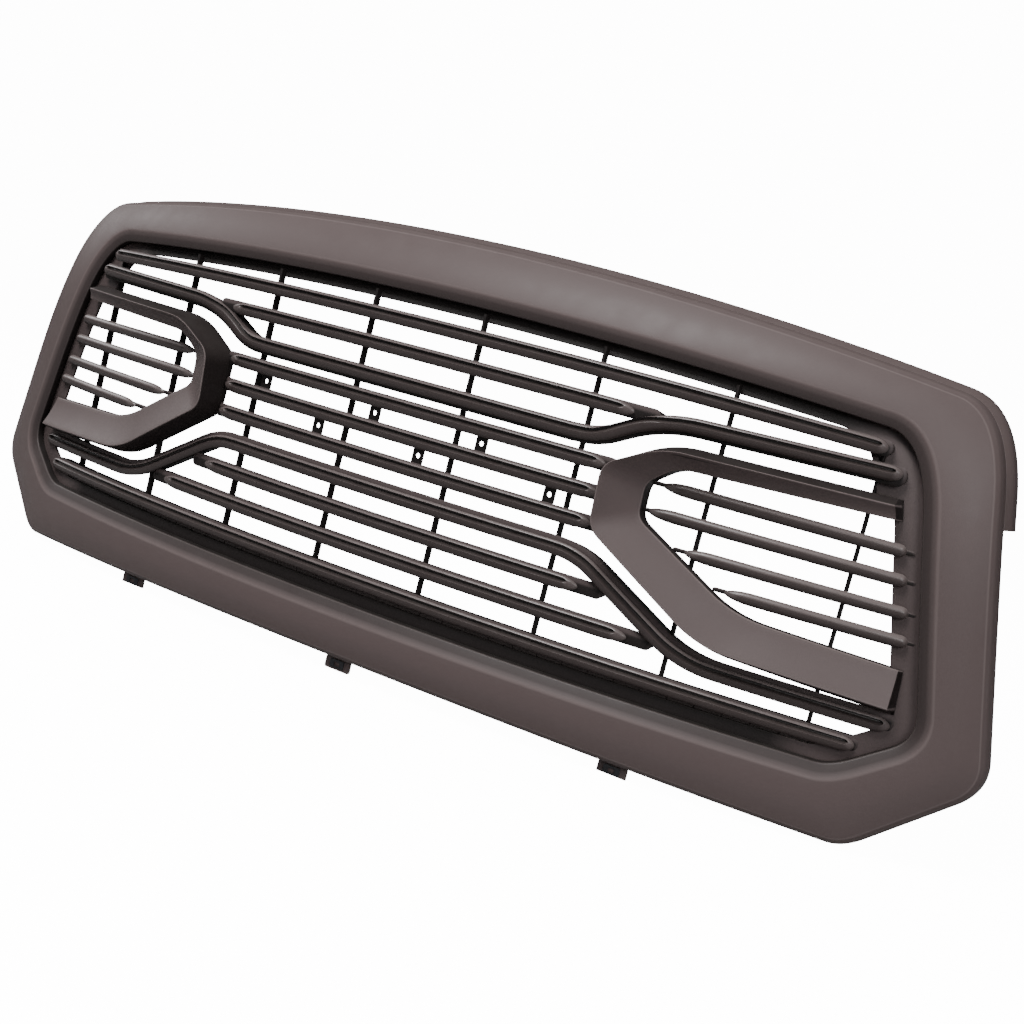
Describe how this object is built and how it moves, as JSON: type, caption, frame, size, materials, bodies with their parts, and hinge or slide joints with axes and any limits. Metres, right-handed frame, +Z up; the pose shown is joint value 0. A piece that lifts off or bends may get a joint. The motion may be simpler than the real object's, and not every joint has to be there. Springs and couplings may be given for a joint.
{
  "type": "front grille",
  "caption": "Bowed pickup front grille: a wide painted surround, a slatted insert, C-shaped bars at both sides and hidden top and lower fixings.",
  "frame": {"origin": "middle of the whole grille's box", "axes": "-Y is the front, which faces away from the vehicle; +Z is up; +X runs along the width"},
  "size_m": [1.2086, 0.1616, 0.4582],
  "materials": {
    "surround_paint": "satin warm dark grey paint on moulded plastic",
    "trim_paint": "satin dark grey paint on moulded plastic",
    "moulded_black": "unpainted black plastic with a fine moulded grain",
    "zinc_steel": "zinc plated",
    "spring_steel": "black phosphate coated spring steel",
    "nylon": "natural nylon"
  },
  "bodies": {
    "root": {"bar_screw_left_1": "zinc_steel", "bar_screw_left_2": "zinc_steel", "bar_screw_left_3": "zinc_steel", "bar_screw_right_1": "zinc_steel", "bar_screw_right_2": "zinc_steel", "bar_screw_right_3": "zinc_steel", "bonnet_flange": "surround_paint", "c_bar_left": "surround_paint", "c_bar_right": "surround_paint", "insert_carrier": "moulded_black", "insert_screw_01": "zinc_steel", "insert_screw_02": "zinc_steel", "insert_screw_03": "zinc_steel", "insert_screw_04": "zinc_steel", "insert_screw_05": "zinc_steel", "insert_screw_06": "zinc_steel", "insert_screw_07": "zinc_steel", "insert_screw_08": "zinc_steel", "insert_screw_09": "zinc_steel", "insert_screw_10": "zinc_steel", "lower_clip_centre": "spring_steel", "lower_clip_left": "spring_steel", "lower_clip_right": "spring_steel", "short_trim_left_1": "trim_paint", "short_trim_left_2": "trim_paint", "short_trim_left_3": "trim_paint", "short_trim_left_4": "trim_paint", "short_trim_right_1": "trim_paint", "short_trim_right_2": "trim_paint", "short_trim_right_3": "trim_paint", "short_trim_right_4": "trim_paint", "slat_trim_01": "trim_paint", "slat_trim_02": "trim_paint", "slat_trim_03": "trim_paint", "slat_trim_04": "trim_paint", "slat_trim_05": "trim_paint", "slat_trim_06": "trim_paint", "slat_trim_07": "trim_paint", "slat_trim_08": "trim_paint", "slat_trim_09": "trim_paint", "slat_trim_10": "trim_paint", "surround": "surround_paint", "top_retainer_1": "nylon", "top_retainer_2": "nylon", "top_retainer_3": "nylon", "top_retainer_4": "nylon"}
  },
  "joints": []
}
